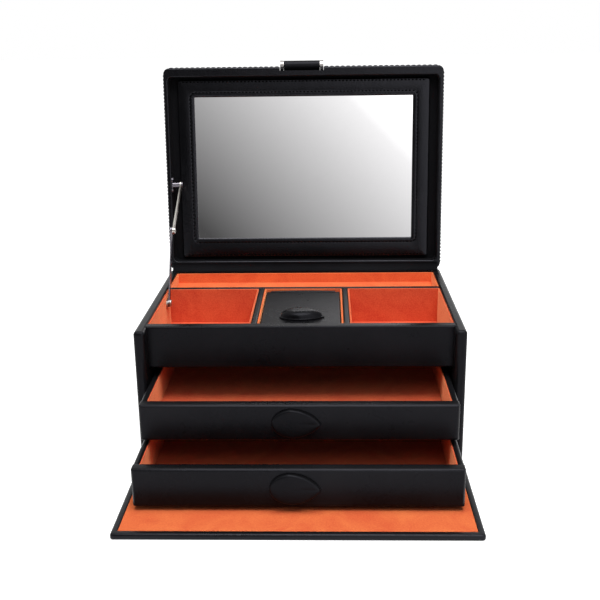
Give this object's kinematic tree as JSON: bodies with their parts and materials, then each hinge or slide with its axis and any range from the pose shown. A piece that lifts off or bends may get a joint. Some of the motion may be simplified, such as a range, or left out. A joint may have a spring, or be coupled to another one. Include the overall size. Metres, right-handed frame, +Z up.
{
  "type": "jewelry case",
  "caption": "Black leather jewelry case with a mirrored hinged lid on a folding stay, a suede-lined tray with a lift-out case, sliding drawers and a drop-down front flap.",
  "frame": {"origin": "middle of the underside of the base, on the surface that the case stands on", "axes": "X to the right seen from the front, Y to the back, Z up"},
  "size_m": [0.26, 0.3372, 0.3065],
  "materials": {
    "leather": "smooth black leather with fine grain",
    "embossed_leather": "black leather embossed with a small raised pattern",
    "suede": "soft orange suede",
    "felt": "black felt",
    "mirror": "clear silvered glass",
    "chrome": "polished",
    "steel": "nickel-plated"
  },
  "bodies": {
    "case": {"base_cover": "felt", "base_panel": "leather", "side_panel_left": "leather", "side_panel_right": "leather", "back_panel": "leather", "drawer_shelf": "leather", "front_fascia": "leather", "tray_floor": "leather", "slot_divider": "leather", "slot_floor": "leather", "slot_lining": "suede", "partition_left": "leather", "partition_right": "leather", "tray_lining_left": "suede", "tray_lining_right": "suede", "well_lining": "suede", "hinge_leaf_case": "steel", "hinge_pin": "steel", "stay_bracket_case": "steel", "flap_hinge_strip": "leather"},
    "lid": {"lid_shell": "embossed_leather", "mirror_frame": "leather", "mirror_glass": "mirror", "hinge_leaf_lid": "steel", "clasp_lugs": "chrome", "clasp_pin": "chrome", "stay_bracket_lid": "steel"},
    "clasp": {"clasp_tab": "leather", "clasp_magnet": "steel"},
    "stay_lower": {"stay_lower_link": "steel"},
    "stay_upper": {"stay_upper_link": "steel"},
    "upper_drawer": {"upper_drawer_front": "leather", "upper_drawer_side_left": "leather", "upper_drawer_side_right": "leather", "upper_drawer_back": "leather", "upper_drawer_bottom": "leather", "upper_drawer_lining": "suede", "upper_drawer_pull": "leather"},
    "lower_drawer": {"lower_drawer_front": "leather", "lower_drawer_side_left": "leather", "lower_drawer_side_right": "leather", "lower_drawer_back": "leather", "lower_drawer_bottom": "leather", "lower_drawer_lining": "suede", "lower_drawer_pull": "leather"},
    "flap": {"flap_panel": "leather", "flap_lining": "suede", "flap_keeper": "steel"},
    "small_case": {"small_case_box": "leather", "small_case_lining": "suede", "small_case_hinge": "leather"},
    "small_case_lid": {"small_case_lid": "leather", "small_case_pull": "leather"}
  },
  "joints": [
    {"name": "lid_hinge", "type": "hinge", "parent": "case", "child": "lid", "pos_m": [0, 0.0923, 0.1125], "axis": [-1, 0, 0], "range_deg": [-95.2, 0]},
    {"name": "stay_lower_swing", "type": "hinge", "parent": "case", "child": "stay_lower", "pos_m": [-0.1198, 0.0149, 0.1027], "axis": [-1, 0, 0], "range_deg": [-120.78, 0.5]},
    {"name": "stay_upper_swing", "type": "hinge", "parent": "lid", "child": "stay_upper", "pos_m": [-0.1182, 0.10298, 0.19346], "axis": [-1, 0, 0], "range_deg": [-0.5, 111.81]},
    {"name": "clasp_swing", "type": "hinge", "parent": "lid", "child": "clasp", "pos_m": [-0.0012, 0.12418, 0.30169], "axis": [-1, 0, 0], "range_deg": [-270, 0]},
    {"name": "upper_drawer_slide", "type": "slide", "parent": "case", "child": "upper_drawer", "axis": [0, -1, 0], "range_m": [-0.0583, 0.0617]},
    {"name": "lower_drawer_slide", "type": "slide", "parent": "case", "child": "lower_drawer", "axis": [0, -1, 0], "range_m": [-0.0973, 0.0227]},
    {"name": "flap_hinge", "type": "hinge", "parent": "case", "child": "flap", "pos_m": [0, -0.0967, 0.0004], "axis": [1, 0, 0], "range_deg": [-1.6, 0]},
    {"name": "small_case_lift", "type": "slide", "parent": "case", "child": "small_case", "axis": [0, 0, 1], "range_m": [0, 0.06]},
    {"name": "small_case_lid_hinge", "type": "hinge", "parent": "small_case", "child": "small_case_lid", "pos_m": [0, 0.0267, 0.1093], "axis": [-1, 0, 0], "range_deg": [0, 92]}
  ],
  "couplings": [
    {"joint": "stay_lower_swing", "follows": "lid_hinge", "ratio": 1.2635},
    {"joint": "stay_upper_swing", "follows": "lid_hinge", "ratio": -1.1692}
  ]
}
